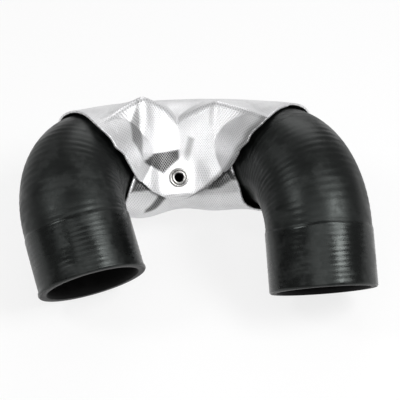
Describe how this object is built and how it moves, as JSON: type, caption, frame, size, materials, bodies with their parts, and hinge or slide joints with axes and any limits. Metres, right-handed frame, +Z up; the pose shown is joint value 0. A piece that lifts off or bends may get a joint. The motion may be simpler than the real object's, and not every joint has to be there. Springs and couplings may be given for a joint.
{
  "type": "coolant hose",
  "caption": "Moulded rubber coolant hose with two bends up to straight cuffs, its back bend wrapped in a foil-faced cloth heat sleeve held by an eyelet.",
  "frame": {"origin": "on the surface that the hose lies on, under the middle of its box", "axes": "+X from the left mouth to the right mouth, +Y away from the mouths towards the sleeved back bend, +Z up"},
  "size_m": [0.1957, 0.1608, 0.0863],
  "materials": {
    "black_rubber": "satin",
    "foil_cloth": "bright woven foil",
    "eyelet_metal": "bright"
  },
  "bodies": {
    "root": {"hose": "black_rubber", "heat_sleeve": "foil_cloth", "eyelet": "eyelet_metal", "eyelet_washer": "eyelet_metal"}
  },
  "joints": []
}
